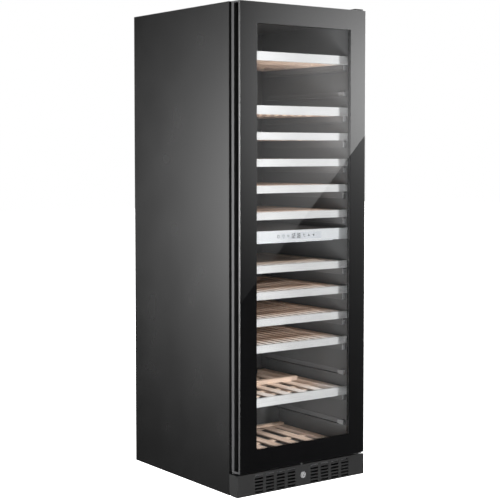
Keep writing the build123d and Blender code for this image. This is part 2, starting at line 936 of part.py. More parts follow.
def air_duct(span):
    """The rear wall of one zone with its vents, fan grille and fan mount."""
    reach = cavity_half - duct_side_gap
    back = duct_setback + duct_sheet
    wall = block((-reach, reach), (duct_setback, back), span)
    z = fan_height(span)
    for cut in grille(0, (duct_setback - sheet, back + sheet), z):
        wall -= cut
    half_vent = vent_width / 2
    low = span[0] + vent_pitch
    rows = int((z - fan_ring_radius - low) // vent_pitch)
    for row in range(rows):
        slot = (low + row * vent_pitch, low + row * vent_pitch + vent_height)
        wall -= block((-half_vent, half_vent), (duct_setback - sheet, back + sheet), slot)
    return wall + fan_mount(0, back, z)


def duct_fan(span):
    """The fan wheel of one zone."""
    return fan_rotor(0, duct_setback + duct_sheet + fan_standoff, fan_height(span))


def evaporator(span):
    """A plate evaporator with its tube, on four stand-offs from the liner."""
    low = span[0] + vent_pitch / 2
    high = low + evaporator_height
    half = evaporator_width / 2
    rear = cavity_rear - evaporator_standoff
    plate = block((-half, half), (rear - evaporator_sheet, rear), (low, high))
    pitch = evaporator_height / evaporator_rows
    for row in range(evaporator_rows):
        z = low + (row + 0.5) * pitch
        plate += rod_along_x(evaporator_tube, (-half, half), rear - evaporator_sheet, z)
    for x in (-half + vent_pitch / 2, half - vent_pitch / 2):
        for z in (low + pitch, high - pitch):
            plate += rod_along_y(evaporator_tube, x, (rear, cavity_rear), z)
    return plate


# Machine bay
def compressor_shell():
    """The drawn shell, turned from its half profile: two crowned halves and the seam between them."""
    wall = compressor_radius
    low_shoulder = compressor_crown
    high_shoulder = compressor_height - compressor_crown
    seam_low = (compressor_height - seam_height) / 2
    seam_high = seam_low + seam_height
    rim = wall + seam_reach
    side = [
        (wall, low_shoulder),
        (wall, seam_low),
        (rim, seam_low),
        (rim, seam_high),
        (wall, seam_high),
        (wall, high_shoulder),
    ]
    top = RadiusArc(side[-1], (crown_flat, compressor_height), -compressor_radius)
    base = RadiusArc((crown_flat, 0), side[0], -compressor_radius)
    ends = Polyline((crown_flat, compressor_height), (0, compressor_height), (0, 0), (crown_flat, 0))
    half = make_face([base, Polyline(*side), top, ends])
    return revolve(Plane.XZ * half, axis=Axis.Z)


def compressor():
    """The sealed compressor on its mounting plate and four rubber grommets."""
    x = compressor_x
    y = (bay_front + rear_skin) / 2
    plate_low = base_top + grommet_height
    shell_low = plate_low + mount_plate
    shell_middle = shell_low + compressor_height / 2
    shell = Pos(x, setback(y), shell_low) * compressor_shell()
    reach = mount_reach
    plate = block((x - reach, x + reach), (y - reach, y + reach), (plate_low, shell_low))
    plate = fillet(plate.edges().filter_by(Axis.Z), grommet_radius)
    half_box = terminal_box / 2
    box_x = x + compressor_radius
    box_z = (shell_middle - half_box, shell_middle + half_box)
    terminals = block((box_x - half_box, box_x + half_box), (y - half_box, y + half_box), box_z)
    pieces = [shell + plate + terminals]
    corner = mount_reach - grommet_radius
    for place in GridLocations(2 * corner, 2 * corner, 2, 2):
        spot = place.position
        pieces.append(rod_along_z(grommet_radius, x + spot.X, y + spot.Y, (base_top, plate_low)))
    return pieces


def condenser_box():
    """Limits of the condenser coil block."""
    half = condenser_length / 2
    rear = rear_skin - condenser_rear_gap
    x = (condenser_x - half, condenser_x + half)
    z = (base_top + grommet_height, base_top + grommet_height + condenser_height)
    return x, (rear - condenser_depth, rear), z


def return_bend(x, y, z):
    """A half ring of tube that joins the front and the rear run of one row at the end plate."""
    middle = (y[0] + y[1]) / 2
    reach = condenser_depth / 4
    start = Pos(x, setback(middle - reach), z)
    path = Plane((x, setback(middle), z)) * CenterArc((0, 0), reach, -90, 180)
    return sweep(start * Rot(0, 90, 0) * Circle(coil_radius), path=path)


def condenser():
    """The finned coil between two end plates, with the fan shroud on its front."""
    x, y, z = condenser_box()
    core_y = (y[0] + core_inset, y[1] - core_inset)
    coil = block(x, core_y, (z[0] + core_inset, z[1] - core_inset))
    rows = condenser_height / coil_rows
    for row in range(coil_rows):
        coil += return_bend(x[1], y, z[0] + (row + 0.5) * rows)
    fins = int(condenser_length // fin_pitch)
    for index in range(1, fins):
        start = x[0] + index * fin_pitch
        coil += block((start, start + fin_sheet), y, z)
    for start in (x[0], x[1] - end_plate):
        coil += block((start, start + end_plate), y, (base_top, z[1]))
    face = block(x, (y[0] - end_plate, y[0]), z)
    centre_z = (z[0] + z[1]) / 2
    face -= rod_along_y(fan_ring_radius, condenser_x, (y[0] - 2 * end_plate, y[0] + end_plate), centre_z)
    mount = mirror(fan_mount(0, 0, 0), about=Plane.XZ.offset(-setback(0)))
    return coil + face + Pos(condenser_x, y[0] - end_plate, centre_z) * mount


def condenser_fan():
    """The fan wheel that draws air through the condenser."""
    x, y, z = condenser_box()
    front = y[0] - end_plate - fan_standoff - fan_depth
    return fan_rotor(condenser_x, front, (z[0] + z[1]) / 2)


def cord_gland():
    """The bush in the machine cover that the supply lead passes through."""
    flange = rod_along_y(gland_flange_radius, gland_x, (rear_skin - gland_flange, rear_skin), gland_height)
    neck = rod_along_y(gland_neck_radius, gland_x, (rear_skin, case_rear), gland_height)
    bore_y = (rear_skin - 2 * gland_flange, case_rear + sheet)
    bore = rod_along_y(gland_bore_radius, gland_x, bore_y, gland_height)
    return flange + neck - bore


# Feet
def foot_pad(top):
    """A turned foot: a flat pad with a cone up to its neck."""
    outline = [
        (0, 0),
        (foot_radius, 0),
        (foot_radius, foot_rim),
        (foot_neck_radius, top),
        (0, top),
    ]
    return revolve(Plane.XZ * make_face(Polyline(*outline, close=True)), axis=Axis.Z)


def rear_feet():
    """Two fixed feet under the rear of the base."""
    foot = Pos(foot_x, setback(case_rear - rear_foot_inset), 0) * foot_pad(floor_gap)
    return both_sides(foot)


def front_foot():
    """A levelling foot whose threaded shank runs in the base."""
    top = floor_gap - foot_top_gap
    foot = Pos(foot_x, setback(front_foot_setback), 0) * foot_pad(top)
    return foot + rod_along_z(shank_radius, foot_x, front_foot_setback, (top - sheet, top + shank_length))


def all_nodes():
    """Every piece of the cooler by name."""
    upper, lower = zone_spans()
    right_side = side_panel()
    right_foot = front_foot()
    nodes = {
        "side_panel_left": mirrored(right_side),
        "side_panel_right": right_side,
        "top_panel": top_panel(),
        "rear_panel": rear_panel(),
        "machine_cover": machine_cover(),
        "base_frame": base_frame(),
        "inner_liner": inner_liner(),
        "insulation": insulation(),
        "zone_divider": zone_divider(),
        "control_fascia": control_fascia(),
        "touch_panel": touch_seat(),
        "led_strips": led_strips(),
        "shelf_rails": shelf_rails(),
        "rail_end_caps": rail_end_caps(),
        "floor_rack": floor_rack(),
        "air_ducts": [air_duct(upper), air_duct(lower)],
        "evaporators": [evaporator(upper), evaporator(lower)],
        "upper_fan": duct_fan(upper),
        "lower_fan": duct_fan(lower),
        "compressor": compressor(),
        "condenser": condenser(),
        "condenser_fan": condenser_fan(),
        "cord_gland": cord_gland(),
        "kick_plate": kick_plate(),
        "lock_housing": lock_housing(),
        "lock_barrel": lock_barrel(),
        "lock_bolt": lock_bolt(),
        "rear_feet": rear_feet(),
        "front_foot_left": mirrored(right_foot),
        "front_foot_right": right_foot,
        "top_hinge": top_hinge(),
        "bottom_hinge": bottom_hinge(),
        "outer_glass": outer_glass(),
        "inner_panes": inner_panes(),
        "glass_spacers": glass_spacers(),
        "door_frame": door_frame(),
        "door_grip": door_grip(),
        "door_gasket": door_gasket(),
    }
    for number, slot in enumerate(shelf_slots, start=1):
        nodes[f"shelf_{number:02d}_wood"] = shelf_wood(slot)
        nodes[f"shelf_{number:02d}_trim"] = shelf_trim(slot)
    return nodes


os.makedirs("parts", exist_ok=True)
for name, pieces in all_nodes().items():
    solids = pieces if isinstance(pieces, list) else [pieces]
    shape = Compound([solid for piece in solids for solid in piece.solids()])
    export_step(shape, f"parts/{name}.step")
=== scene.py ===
import math

import bmesh
import bpy
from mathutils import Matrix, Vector


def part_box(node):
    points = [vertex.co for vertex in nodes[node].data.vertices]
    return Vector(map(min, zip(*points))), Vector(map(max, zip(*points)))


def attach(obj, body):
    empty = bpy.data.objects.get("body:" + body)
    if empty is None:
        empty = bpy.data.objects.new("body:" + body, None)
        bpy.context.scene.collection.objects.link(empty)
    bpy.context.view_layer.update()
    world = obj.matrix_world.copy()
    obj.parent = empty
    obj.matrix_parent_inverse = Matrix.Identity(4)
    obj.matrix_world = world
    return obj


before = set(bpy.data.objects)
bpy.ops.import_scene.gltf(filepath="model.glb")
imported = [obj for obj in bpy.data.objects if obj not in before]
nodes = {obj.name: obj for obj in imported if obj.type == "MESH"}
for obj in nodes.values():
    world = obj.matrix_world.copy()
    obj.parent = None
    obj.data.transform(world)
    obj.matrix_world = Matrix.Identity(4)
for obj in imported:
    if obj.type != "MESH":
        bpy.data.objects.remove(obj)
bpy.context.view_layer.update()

# Camera at the photograph's viewpoint: place in metres, angles in degrees, lens and sensor in millimetres,
# and the upward shift as a share of the frame
CAMERA_PLACE = (-2.84044, -3.90165, 1.23822)
CAMERA_YAW = 36.1413
CAMERA_PITCH = -2.86
CAMERA_LENS = 89.874
CAMERA_SENSOR = 36.0
CAMERA_SHIFT = -0.07

# Floor and background: sizes and drops below the object in metres, and strengths
FLOOR_HALF = 20.0
FLOOR_DROP = 0.0005
FLOOR_GLOW = 2.2
SHADE_INSET = 0.045
SHADE_DROP = 0.0002
AMBIENT = 0.03

# Lamps: places and sizes in metres, powers in watts, the key's softness in degrees
KEY_TOWARDS = (-0.10, 1.10, -0.70)
KEY_SOFTNESS = 10.0
KEY_STRENGTH = 4.9
FRONT_SIZE = 1.4
UPPER_PLACE = (0.0, -3.0, 2.3)
UPPER_POWER = 34.0
LOWER_PLACE = (-1.2, -2.0, 0.25)
LOWER_POWER = 158.0
LEFT_PLACE = (-4.2, -1.2, 1.5)
LEFT_SIZE = 2.4
LEFT_POWER = 26.0
RIM_PLACE = (3.6, 3.2, 2.6)
RIM_SIZE = 2.4
RIM_POWER = 160.0
LOOK_AT = (0.0, -0.2, 0.85)

# Front softbox, in metres: its plane and limits, and two points (x, z) of its slanted edge,
# which the door mirrors at its left and its right edge
CARD_Y = -3.4
CARD_X = (0.9, 4.6)
CARD_Z = (-2.0, 4.0)
EDGE_LEFT = (1.897, 0.247)
EDGE_RIGHT = (2.975, 1.359)

# Front softbox: its level at the left point, the growth to the right point, and the limits of the level
LEVEL_LEFT = 0.22
LEVEL_GROWTH = 0.8
LEVEL_LIMITS = (0.06, 1.25)

# Front softbox: middle and width of the glow above the edge, the fade below it, and strengths
GLOW_HEIGHT = 1.62
GLOW_WIDTH = 0.66
FADE_HEIGHT = 1.3
FADE_RATE = 1.6
FADE_SHARE = 0.27
CARD_BRIGHT = 1.9
CARD_LEAST = 0.008

# Side softboxes: distance, limits, and middle and width of the glow in y and z, in metres, and strengths
SIDE_REACH = 3.0
SIDE_Y = (-1.0, 8.0)
SIDE_Z = (-2.5, 4.5)
SIDE_GLOW_Y = (2.3, 0.82)
SIDE_GLOW_Z = (0.95, 0.79)
SIDE_BRIGHT = 7.15
SIDE_LEAST = 0.05

# Range in which most of a noise lies
NOISE_RANGE = (0.3, 0.7)

# Paint and plastic: scale of their soft clouds, how far these vary the roughness, and strength of the grain
CLOUD_SCALE = 7.0
CLOUD_ROUGHNESS = (0.94, 1.06)
GRAIN_BUMP = 0.25

# Brushed metal: how far the lines vary the roughness, and their strength and height in metres
BRUSH_ROUGHNESS = (0.8, 1.25)
BRUSH_BUMP = 0.12
BRUSH_HEIGHT = 0.00003

# Beech: noise scales along and across the grain, tones, and the fibres' strength and height in metres
GROWTH_SCALES = (3.0, 55.0)
FIBRE_SCALES = (14.0, 520.0)
WOOD_TONES = [
    (0.28, (0.55, 0.40, 0.31)),
    (0.46, (0.65, 0.50, 0.40)),
    (0.60, (0.71, 0.56, 0.465)),
    (0.75, (0.77, 0.63, 0.535)),
]
FLECK_TONES = [(0.30, (0.78, 0.74, 0.72)), (0.62, (1.0, 1.0, 1.0))]
FLECK_SHARE = 0.4
WOOD_ROUGHNESS = (0.62, 0.5)
FIBRE_BUMP = 0.2
FIBRE_HEIGHT = 0.00008

# Racks: width of their stiles and a margin beside them, in metres, and the tone of the slats' sides
# as a share of their tops, darkened as painted shade
STILE_WIDTH = 0.037
STILE_MARGIN = 0.001
SIDE_SHADE_SHARE = 0.45

# Length over which the slats turn pale at their front ends, in metres, and their tone there: painted light
# where the lamps reach the front of each shelf
TIP_LENGTH = 0.10
WIDE_TIP_LENGTH = 0.16
TIP_LIGHT_TONE = (0.93, 0.90, 0.88)

# Places along x, in metres, between which the shelf fronts and the control strip grow brighter to the left,
# as painted light
PAINTED_LIGHT_SPAN = (-0.19, 0.02)
PAINTED_LIGHT_GAIN = 1.34

# Glass: tints, refraction, scale and strength of its faint clouds, and the share of its mirroring
# that the front pane's window loses between two heights in metres
PANE_TINT = (0.985, 0.988, 0.988)
SPACER_TINT = (0.975, 0.977, 0.979)
GLASS_IOR = 1.5
SMUDGE_SCALE = 5.0
SMUDGE_GAIN = 1.01
COATING_HEIGHTS = (0.85, 1.68)
COATING_LOSS = (0.10, 0.88)

# Width of the bars between the panes, in metres
SPACER_WIDTH = 0.008

# Printed border: its gap to the pane's edge and its thickness in metres, and its surface
PRINT_EDGE = 0.0006
PRINT_DEPTH = 0.0002
PRINT_COLOUR = (0.0012, 0.0012, 0.0013)
PRINT_CLOUD_SCALE = 12.0
PRINT_SPREAD = 0.1
PRINT_ROUGHNESS = 0.9

# Light covers: tone and glow, scale of their cells, how far these vary the tone, and roughness
COVER_COLOUR = (0.95, 0.96, 1.0)
COVER_GLOW = 0.3
COVER_CELL_SCALE = 60.0
COVER_SPREAD = 0.03
COVER_ROUGHNESS = 0.45

# Rounding of edges in metres, and the angle in degrees from which an edge counts as sharp
RACK_ROUNDING = 0.0012
SHEET_ROUNDING = 0.0004
SHARP_ANGLE = 40.0

# Tests on faces and solids: the least x part of a normal that looks left or right, and in metres the depth
# of the grip's outermost faces, the least distance of a face that looks at the window's middle,
# and the largest size of a grommet
SIDEWAYS = 0.9
GRIP_SKIN = 0.0002
INWARD_LEAST = 0.1
GROMMET_SIZE = 0.03

# Hinges: place of their axis in x and y, and the reach of the pins around it, in metres
HINGE_AXIS = (0.2803, -0.3165)
PIN_REACH = 0.0062

# Digits on the touch panel, in metres: sizes, and the readings with the places of their middles along x
DIGIT_WIDTH = 0.0092
DIGIT_HEIGHT = 0.0170
DIGIT_BAR = 0.0024
DIGIT_INSET = 0.0001
DIGIT_PITCH = 0.0120
READINGS = (("12", -0.0110), ("18", 0.0130))
SEGMENTS = {"1": "bc", "2": "abged", "8": "abcdefg"}

# Signs on the touch panel, in metres: thickness, half height, line width and places along x,
# with 1 for an arrow up and -1 for an arrow down
SIGN_DEPTH = 0.00025
SIGN_SIZE = 0.0065
SIGN_LINE = 0.0019
POWER_X = -0.078
LAMP_X = -0.054
ZONE_X = -0.032
DEGREE_X = 0.042
ARROWS = ((0.064, 1), (0.087, -1))

# Screws, in metres: rings of the head as (radius, rise), their heights and distance from the edge
# on the rear flanges and the machine cover, and the (x, y) places on the top hinge
SCREW_RINGS = [(0.0034, 0.0), (0.0034, 0.0006), (0.0024, 0.0013), (0.0015, 0.0013), (0.0014, 0.0005)]
SCREW_SIDES = 12
REAR_SCREW_HEIGHTS = (0.34, 0.62, 0.90, 1.18, 1.46, 1.72)
REAR_SCREW_EDGE = 0.0068
COVER_SCREW_HEIGHTS = (0.030, 0.238)
COVER_SCREW_EDGE = 0.010
TOP_SCREW_PLACES = ((0.270, -0.276), (0.270, -0.244))

# Names of the shelves, and of the rack of the display shelf
SHELVES = [f"shelf_{number:02d}" for number in range(1, 12)]
DISPLAY_RACK = "shelf_11_wood"

# Paints, plastics and rubber
COATED = {
    "case_paint": dict(colour=(0.0025, 0.0025, 0.0025), roughness=0.26, grain=900.0),
    "kick_paint": dict(colour=(0.009, 0.009, 0.009), roughness=0.4, grain=900.0),
    "base_paint": dict(colour=(0.006, 0.006, 0.006), roughness=0.6),
    "hinge_steel": dict(colour=(0.03, 0.03, 0.03), roughness=0.34),
    "liner_plastic": dict(colour=(0.077, 0.0775, 0.079), roughness=0.5, grain=500.0),
    "foam": dict(colour=(0.72, 0.62, 0.42), roughness=0.9, grain=260.0, height=0.0004),
    # Painted light makes the control strip brighter towards the left
    "silver_plastic": dict(
        colour=(0.42, 0.427, 0.438), roughness=0.32, grain=1200.0, spread=0.03, painted_left_light=True
    ),
    # Painted light makes the touch panel brighter towards the left
    "touch_glass": dict(
        colour=(0.405, 0.416, 0.434),
        roughness=0.16,
        grain=300.0,
        height=0.00001,
        spread=0.02,
        painted_left_light=True,
    ),
    "rail_steel": dict(colour=(0.10, 0.10, 0.102), roughness=0.42),
    "cap_plastic": dict(colour=(0.22, 0.22, 0.225), roughness=0.4),
    "fan_plastic": dict(colour=(0.035, 0.035, 0.035), roughness=0.45),
    "compressor_paint": dict(colour=(0.015, 0.015, 0.016), roughness=0.22),
    "gland_plastic": dict(colour=(0.03, 0.03, 0.03), roughness=0.5),
    "foot_plastic": dict(colour=(0.03, 0.03, 0.03), roughness=0.55),
    "frame_plastic": dict(colour=(0.003, 0.003, 0.003), roughness=0.4),
    "frame_lining": dict(colour=(0.10, 0.10, 0.102), roughness=0.5),
    "door_seal": dict(colour=(0.06, 0.06, 0.061), roughness=0.6),
    "seal_rubber": dict(colour=(0.012, 0.012, 0.012), roughness=0.6),
    "icon_grey": dict(colour=(0.075, 0.08, 0.09), roughness=0.4),
    "digit_dark": dict(colour=(0.008, 0.009, 0.011), roughness=0.3),
}

# Bare metals, with the noise scales of their brush lines in x, y and z
BRUSHED = {
    "zinc_steel": dict(
        colour=(0.34, 0.35, 0.36), roughness=0.45, metallic=0.7, stretch=(40.0, 40.0, 40.0)
    ),
    "evaporator_metal": dict(
        colour=(0.7, 0.7, 0.71), roughness=0.4, metallic=0.9, stretch=(6.0, 200.0, 200.0)
    ),
    "lock_metal": dict(
        colour=(0.42, 0.42, 0.425), roughness=0.28, metallic=0.8, stretch=(90.0, 90.0, 90.0)
    ),
    "bolt_steel": dict(
        colour=(0.6, 0.6, 0.61), roughness=0.35, metallic=0.9, stretch=(60.0, 60.0, 8.0)
    ),
    "grip_metal": dict(
        colour=(0.077, 0.077, 0.079), roughness=0.38, metallic=0.5, stretch=(300.0, 300.0, 3.0)
    ),
    # Painted light makes the shelf fronts brighter towards the left
    "trim_steel": dict(
        colour=(0.425, 0.422, 0.423),
        roughness=0.34,
        metallic=0.1,
        stretch=(4.0, 600.0, 600.0),
        painted_left_light=True,
    ),
    "screw_steel": dict(
        colour=(0.45, 0.45, 0.46), roughness=0.3, metallic=0.9, stretch=(120.0, 120.0, 120.0)
    ),
}

# Wood of the slats, with painted light at their front ends, of the cross pieces, and of the slats' sides,
# darkened as painted shade
WOODS = {
    "beech_y": dict(along="y", tip=TIP_LENGTH),
    "beech_wide": dict(along="y", tip=WIDE_TIP_LENGTH),
    "beech_x": dict(along="x"),
    "beech_side": dict(along="y", depth=SIDE_SHADE_SHARE),
}

# Glass and clear plastic, with the strength of their mirroring
GLASSES = {
    "outer_pane": dict(shine=4.0, tint=PANE_TINT, coated_window=True),
    "inner_pane": dict(shine=0.25, tint=PANE_TINT),
    "clear_spacer": dict(shine=0.4, tint=SPACER_TINT),
}

# Which finish each node has, where one is enough
NODE_FINISH = {
    "case_paint": ["side_panel_left", "side_panel_right", "top_panel"],
    "kick_paint": ["kick_plate"],
    "base_paint": ["base_frame"],
    "zinc_steel": ["rear_panel", "machine_cover"],
    "liner_plastic": ["inner_liner", "zone_divider", "air_ducts"],
    "foam": ["insulation"],
    "silver_plastic": ["control_fascia"],
    "touch_glass": ["touch_panel"],
    "light_diffuser": ["led_strips"],
    "rail_steel": ["shelf_rails"],
    "cap_plastic": ["rail_end_caps"],
    "evaporator_metal": ["evaporators", "condenser"],
    "fan_plastic": ["upper_fan", "lower_fan", "condenser_fan"],
    "gland_plastic": ["cord_gland"],
    "lock_metal": ["lock_housing", "lock_barrel"],
    "bolt_steel": ["lock_bolt"],
    "foot_plastic": ["rear_feet", "front_foot_left", "front_foot_right"],
    "outer_pane": ["outer_glass"],
    "inner_pane": ["inner_panes"],
    "clear_spacer": ["glass_spacers"],
    "door_seal": ["door_gasket"],
}
GLASS_NODES = ("outer_glass", "inner_panes", "glass_spacers")
ROUNDED_SHEETS = ("side_panel_left", "side_panel_right", "kick_plate", "control_fascia")


# Node graphs
class Graph:
    """A material's node tree, with short calls for the nodes used here."""

    def __init__(self, name):
        self.material = bpy.data.materials.new(name)
        self.material.use_nodes = True
        self.tree = self.material.node_tree
        self.shader = self.tree.nodes["Principled BSDF"]
        self.output = self.tree.nodes["Material Output"].inputs["Surface"]
        self.coordinates = None

    def add(self, kind, **settings):
        """A new node with these settings."""
        node = self.tree.nodes.new(kind)
        for key, value in settings.items():
            setattr(node, key, value)
        return node

    def link(self, source, target):
        """Joins two sockets."""
        self.tree.links.new(source, target)

    def colour(self, tone):
        """Gives the surface a tone that varies."""
        self.link(tone, self.shader.inputs["Base Color"])

    def replace_shader(self, made):
        """Puts another shader in the place of the usual one."""
        self.link(made.outputs[0], self.output)
        self.tree.nodes.remove(self.shader)

    def place(self, scale=(1, 1, 1)):
        """Object coordinates, stretched by these factors."""
        if self.coordinates is None:
            self.coordinates = self.add("ShaderNodeTexCoord").outputs["Object"]
        mapping = self.add("ShaderNodeMapping")
        mapping.inputs["Scale"].default_value = scale
        self.link(self.coordinates, mapping.inputs["Vector"])
        return mapping.outputs["Vector"]

    def axes(self):
        """The three object coordinates as separate values."""
        split = self.add("ShaderNodeSeparateXYZ")
        self.link(self.place(), split.inputs[0])
        return split.outputs

    def noise(self, scale, stretch=(1, 1, 1), detail=3.0, distortion=0.0):
        """A noise value between 0 and 1."""
        texture = self.add("ShaderNodeTexNoise")
        texture.inputs["Scale"].default_value = scale
        texture.inputs["Detail"].default_value = detail
        texture.inputs["Distortion"].default_value = distortion
        self.link(self.place(stretch), texture.inputs["Vector"])
        return texture.outputs["Fac"]

    def ramp(self, value, stops):
        """Colours along a value, as (position, colour) stops."""
        node = self.add("ShaderNodeValToRGB")
        elements = node.color_ramp.elements
        while len(elements) < len(stops):
            elements.new(0.5)
        for element, (position, colour) in zip(elements, stops):
            element.position = position
            element.color = (*colour, 1)
        self.link(value, node.inputs["Fac"])
        return node.outputs["Color"]

    def span(self, value, low, high, start=NOISE_RANGE[0], stop=NOISE_RANGE[1]):
        """A value stretched from one range onto another."""
        node = self.add("ShaderNodeMapRange")
        node.inputs["From Min"].default_value = start
        node.inputs["From Max"].default_value = stop
        node.inputs["To Min"].default_value = low
        node.inputs["To Max"].default_value = high
        self.link(value, node.inputs["Value"])
        return node.outputs["Result"]

    def maths(self, operation, *values):
        """A maths node whose inputs are numbers or sockets."""
        node = self.add("ShaderNodeMath", operation=operation)
        for socket, value in zip(node.inputs, values):
            if isinstance(value, (int, float)):
                socket.default_value = value
            else:
                self.link(value, socket)
        return node.outputs[0]

    def bump(self, height, strength, distance):
        """Raises the surface by a height value."""
        node = self.add("ShaderNodeBump")
        node.inputs["Strength"].default_value = strength
        node.inputs["Distance"].default_value = distance
        self.link(height, node.inputs["Height"])
        self.link(node.outputs["Normal"], self.shader.inputs["Normal"])

    def set(self, values):
        """Plain values on the shader's own sockets."""
        for socket, value in values.items():
            self.shader.inputs[socket].default_value = value


# Scene set-up
def add_object(name, data):
    """A new object in the scene for this mesh, light or camera."""
    made = bpy.data.objects.new(name, data)
    bpy.context.scene.collection.objects.link(made)
    return made


def make_camera():
    """The camera with the photograph's viewpoint and lens."""
    data = bpy.data.cameras.new("camera")
    data.sensor_width = CAMERA_SENSOR
    data.lens = CAMERA_LENS
    data.shift_y = CAMERA_SHIFT
    camera = add_object("camera", data)
    camera.location = CAMERA_PLACE
    camera.rotation_euler = (math.radians(90 + CAMERA_PITCH), 0, math.radians(-CAMERA_YAW))
    bpy.context.scene.camera = camera


def make_world():
    """A white background that lights the object only faintly."""
    world = bpy.data.worlds.new("studio")
    bpy.context.scene.world = world
    world.use_nodes = True
    tree = world.node_tree
    ray = tree.nodes.new("ShaderNodeLightPath")
    strength = tree.nodes.new("ShaderNodeMath")
    strength.operation = "MULTIPLY_ADD"
    strength.inputs[1].default_value = 1.0 - AMBIENT
    strength.inputs[2].default_value = AMBIENT
    background = tree.nodes["Background"]
    background.inputs["Color"].default_value = (1, 1, 1, 1)
    tree.links.new(ray.outputs["Is Camera Ray"], strength.inputs[0])
    tree.links.new(strength.outputs[0], background.inputs["Strength"])


def turn_along(lamp, direction):
    """Turns a lamp so that it shines along a direction."""
    lamp.rotation_euler = direction.to_track_quat("-Z", "Y").to_euler()


def make_area(name, place, size, power, glossy=False):
    """A soft square lamp aimed at the middle of the object."""
    data = bpy.data.lights.new(name, "AREA")
    data.size = size
    data.energy = power
    lamp = add_object(name, data)
    lamp.location = place
    turn_along(lamp, Vector(LOOK_AT) - Vector(place))
    lamp.visible_camera = False
    lamp.visible_glossy = glossy


def make_sun(name, towards, softness, strength):
    """A broad distant lamp that shines along a direction."""
    data = bpy.data.lights.new(name, "SUN")
    data.angle = math.radians(softness)
    data.energy = strength
    lamp = add_object(name, data)
    turn_along(lamp, Vector(towards))
    lamp.visible_glossy = False


def rectangle(low_x, low_y, high_x, high_y):
    """Corners of a rectangle in a plane."""
    return [(low_x, low_y), (high_x, low_y), (high_x, high_y), (low_x, high_y)]


def add_sheet(name, corners):
    """A flat object with one face through these corners."""
    mesh = bpy.data.meshes.new(name)
    mesh.from_pydata(corners, [], [tuple(range(len(corners)))])
    return add_object(name, mesh)


def lay_sheet(name, low, high, drop, glow):
    """A level sheet between two corners that glows evenly and that reflections don't show."""
    sheet = add_sheet(name, [(x, y, -drop) for x, y in rectangle(low[0], low[1], high[0], high[1])])
    graph = Graph(name)
    graph.set({
        "Base Color": (0, 0, 0, 1),
        "Specular IOR Level": 0.0,
        "Emission Color": (1, 1, 1, 1),
        "Emission Strength": glow,
    })
    sheet.data.materials.append(graph.material)
    sheet.visible_glossy = False


def make_floor():
    """The white floor, and the dark under the middle of the case."""
    lay_sheet("floor", (-FLOOR_HALF, -FLOOR_HALF), (FLOOR_HALF, FLOOR_HALF), FLOOR_DROP, FLOOR_GLOW)
    low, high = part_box("base_frame")
    inset = Vector((SHADE_INSET, SHADE_INSET, 0))
    lay_sheet("floor_shade", low + inset, high - inset, SHADE_DROP, 0.0)


# Finishes
def shades(colour, spread):
    """A darker and a lighter tone of a colour, as ramp stops."""
    dark = tuple(part * (1 - spread) for part in colour)
    light = tuple(min(part * (1 + spread), 1.0) for part in colour)
    return list(zip(NOISE_RANGE, (dark, light)))


def paint_left_light(graph, tone):
    """A tone that grows brighter towards the left, as painted light."""
    gain = graph.span(graph.axes()[0], PAINTED_LIGHT_GAIN, 1.0, start=PAINTED_LIGHT_SPAN[0], stop=PAINTED_LIGHT_SPAN[1])
    scaled = graph.add("ShaderNodeVectorMath", operation="SCALE")
    graph.link(tone, scaled.inputs[0])
    graph.link(gain, scaled.inputs["Scale"])
    return scaled.outputs[0]


def vary_roughness(graph, value, roughness, limits):
    """Varies a roughness by a noise value, between two shares of it."""
    low, high = limits
    graph.link(graph.span(value, roughness * low, roughness * high), graph.shader.inputs["Roughness"])


def coated(name, colour, roughness, grain=700.0, height=0.00004, spread=0.1, painted_left_light=False):
    """Paint or moulded plastic with a fine surface texture."""
    graph = Graph(name)
    fine = graph.noise(grain, detail=2.0)
    cloud = graph.noise(CLOUD_SCALE, detail=2.0)
    tone = graph.ramp(cloud, shades(colour, spread))
    # Painted light: the tone grows brighter towards the left where asked
    graph.colour(paint_left_light(graph, tone) if painted_left_light else tone)
    vary_roughness(graph, cloud, roughness, CLOUD_ROUGHNESS)
    graph.bump(fine, GRAIN_BUMP, height)
    return graph.material


def brushed(name, colour, roughness, metallic, stretch, spread=0.06, painted_left_light=False):
    """Metal with fine brush lines along one direction."""
    graph = Graph(name)
    lines = graph.noise(1.0, stretch, detail=4.0)
    tone = graph.ramp(lines, shades(colour, spread))
    # Painted light: the tone grows brighter towards the left where asked
    graph.colour(paint_left_light(graph, tone) if painted_left_light else tone)
    vary_roughness(graph, lines, roughness, BRUSH_ROUGHNESS)
    graph.bump(lines, BRUSH_BUMP, BRUSH_HEIGHT)
    graph.set({"Metallic": metallic})
    return graph.material


def grain_stretch(scales, along):
    """Noise scales in x, y and z for a grain along x or y."""
    lengthwise, across = scales
    return (lengthwise, across, across) if along == "x" else (across, lengthwise, across)


def painted_tip_light(graph, tone, length):
    """A tone that turns pale towards the front ends of the slats, as painted light from the lamps that
    reach past the shelf above.
    """
    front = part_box("floor_rack")[0].y
    mix = graph.add("ShaderNodeMix", data_type="RGBA", blend_type="MIX")
    share = graph.span(graph.axes()[1], 1.0, 0.0, start=front, stop=front + length)
    graph.link(share, mix.inputs["Factor"])
    graph.link(tone, mix.inputs["A"])
    mix.inputs["B"].default_value = (*TIP_LIGHT_TONE, 1)
    return mix.outputs["Result"]


